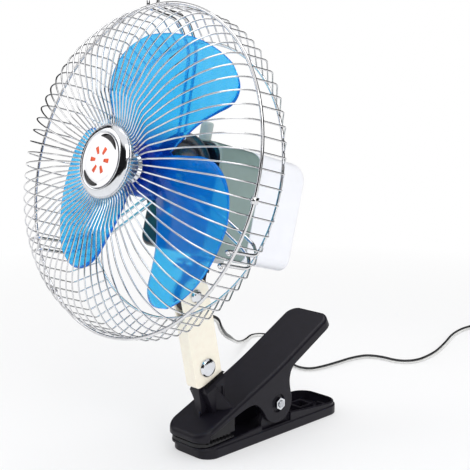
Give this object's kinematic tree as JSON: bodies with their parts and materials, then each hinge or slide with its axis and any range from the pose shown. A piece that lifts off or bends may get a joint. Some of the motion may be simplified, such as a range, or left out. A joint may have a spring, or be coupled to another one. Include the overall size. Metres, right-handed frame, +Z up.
{
  "type": "clip fan",
  "caption": "Oscillating wire-guard fan with a tilting head on a sprung clip, with its motor, gear train and coiled lead.",
  "frame": {"origin": "on the table, on the flat underside of the clip, straight below the pivot of its jaws", "axes": "+Z up from the table, -Y the way the fan blows and the clip's mouth points, +X to the side of the pivot nut"},
  "size_m": [0.2831, 0.5708, 0.3108],
  "materials": {
    "clip_plastic": "smooth moulded black plastic with a soft sheen",
    "pad_rubber": "matt black rubber",
    "zinc_steel": "plain zinc-plated steel",
    "bolt_chrome": "polished chrome plate",
    "wire_chrome": "bright chrome-plated wire",
    "spring_steel": "dark oiled spring steel",
    "bracket_paint": "gloss cream stove enamel",
    "badge_mirror": "mirror-polished disc",
    "blade_blue": "clear blue moulded plastic",
    "bearing_brass": "turned brass",
    "commutator_copper": "bare copper",
    "housing_grey": "glossy grey-green moulded plastic",
    "housing_white": "glossy white moulded plastic",
    "magnet_ferrite": "dull dark ferrite and carbon",
    "gear_nylon": "natural nylon",
    "knob_grey": "light grey moulded plastic",
    "lead_vinyl": "flat twin vinyl wire, one core black and one white"
  },
  "bodies": {
    "clip_base": {"lower_jaw": "clip_plastic", "lower_jaw_pad": "pad_rubber", "jaw_pivot_bolt": "zinc_steel", "jaw_pivot_nut": "bolt_chrome", "jaw_spring_lower": "spring_steel", "cord_coil": "lead_vinyl", "plug_boot": "pad_rubber", "plug_body": "clip_plastic", "plug_contact_left": "bolt_chrome", "plug_contact_right": "bolt_chrome"},
    "clip_lever": {"upper_jaw": "clip_plastic", "upper_jaw_pad": "pad_rubber", "jaw_spring_upper": "spring_steel", "bracket": "bracket_paint", "base_bolt": "bolt_chrome", "base_nut": "zinc_steel", "tilt_bolt": "bolt_chrome", "tilt_nut": "zinc_steel", "cord_grommet": "pad_rubber", "cord": "lead_vinyl"},
    "neck": {"neck": "clip_plastic"},
    "head": {"housing_front": "housing_grey", "housing_rear": "housing_white", "front_bush": "bearing_brass", "swivel_bush": "bearing_brass", "motor_can": "zinc_steel", "motor_magnet_right": "magnet_ferrite", "motor_magnet_left": "magnet_ferrite", "motor_brush_right": "magnet_ferrite", "motor_brush_left": "magnet_ferrite", "motor_end_cap": "gear_nylon", "guard_cage": "wire_chrome", "guard_hoop": "wire_chrome", "guard_support": "wire_chrome", "hoop_clip_1": "wire_chrome", "hoop_clip_2": "wire_chrome", "hoop_clip_3": "wire_chrome", "support_screw_1": "zinc_steel", "support_screw_2": "zinc_steel", "support_screw_3": "zinc_steel", "badge_cap": "wire_chrome", "badge_face": "badge_mirror", "badge_back_plate": "zinc_steel", "badge_screw": "zinc_steel", "switch_bezel": "clip_plastic"},
    "rotor": {"impeller": "blade_blue", "impeller_cap": "bolt_chrome", "motor_shaft": "zinc_steel", "worm": "bearing_brass", "armature_core": "zinc_steel", "commutator": "commutator_copper"},
    "worm_wheel": {"worm_wheel": "gear_nylon"},
    "clutch_rod": {"clutch_rod": "zinc_steel", "clutch_pinion": "gear_nylon"},
    "clutch_knob": {"clutch_knob": "knob_grey"},
    "crank": {"crank_gear": "gear_nylon", "crank_disc": "zinc_steel"},
    "crank_link": {"crank_link": "zinc_steel"},
    "switch_rocker": {"switch_rocker": "clip_plastic"},
    "plug_tip": {"plug_tip": "bolt_chrome"}
  },
  "joints": [
    {"name": "jaw_hinge", "type": "hinge", "parent": "clip_base", "child": "clip_lever", "pos_m": [0, 0, 0.025], "axis": [-1, 0, 0], "range_deg": [0, 25], "stiffness_Nm_per_rad": 1.2, "springref_deg": -51.57},
    {"name": "head_tilt", "type": "hinge", "parent": "clip_lever", "child": "neck", "pos_m": [0, -0.06653, 0.11362], "axis": [1, 0, 0], "range_deg": [-30, 30]},
    {"name": "head_swivel", "type": "hinge", "parent": "neck", "child": "head", "pos_m": [0, -0.05902, 0.13988], "axis": [0, 0.2647, 0.9643], "range_deg": [-30, 30]},
    {"name": "fan_spin", "type": "hinge", "parent": "head", "child": "rotor", "pos_m": [0, -0.11215, 0.2032], "axis": [0, -0.9643, 0.2647], "continuous": true},
    {"name": "worm_wheel_turn", "type": "hinge", "parent": "head", "child": "worm_wheel", "pos_m": [-0.014, -0.0485, 0.18573], "axis": [0, 0.2647, 0.9643], "continuous": true},
    {"name": "clutch_rod_turn", "type": "hinge", "parent": "head", "child": "clutch_rod", "pos_m": [-0.014, -0.0485, 0.18573], "axis": [0, 0.2647, 0.9643], "range_deg": [-226, 226]},
    {"name": "clutch_knob_press", "type": "slide", "parent": "clutch_rod", "child": "clutch_knob", "axis": [0, -0.2647, -0.9643], "range_m": [0, 0.004]},
    {"name": "crank_turn", "type": "hinge", "parent": "head", "child": "crank", "pos_m": [-0.0074, -0.02776, 0.18004], "axis": [0, 0.2647, 0.9643], "range_deg": [-76, 76]},
    {"name": "link_turn", "type": "hinge", "parent": "crank", "child": "crank_link", "pos_m": [-0.0134, -0.02776, 0.18004], "axis": [0, 0.2647, 0.9643], "range_deg": [-76, 76]},
    {"name": "switch_rock", "type": "hinge", "parent": "head", "child": "switch_rocker", "pos_m": [0, 0.00106, 0.13789], "axis": [0, 0.2647, 0.9643], "range_deg": [-16, 0]},
    {"name": "plug_tip_press", "type": "slide", "parent": "clip_base", "child": "plug_tip", "axis": [-1, 0, 0], "range_m": [0, 0.002], "stiffness_N_per_m": 400, "springref_m": -0.001}
  ],
  "couplings": [
    {"joint": "worm_wheel_turn", "follows": "fan_spin", "ratio": -0.05},
    {"joint": "clutch_rod_turn", "follows": "head_swivel", "ratio": 7.5},
    {"joint": "crank_turn", "follows": "head_swivel", "ratio": -2.5},
    {"joint": "link_turn", "follows": "head_swivel", "ratio": 2.5}
  ]
}
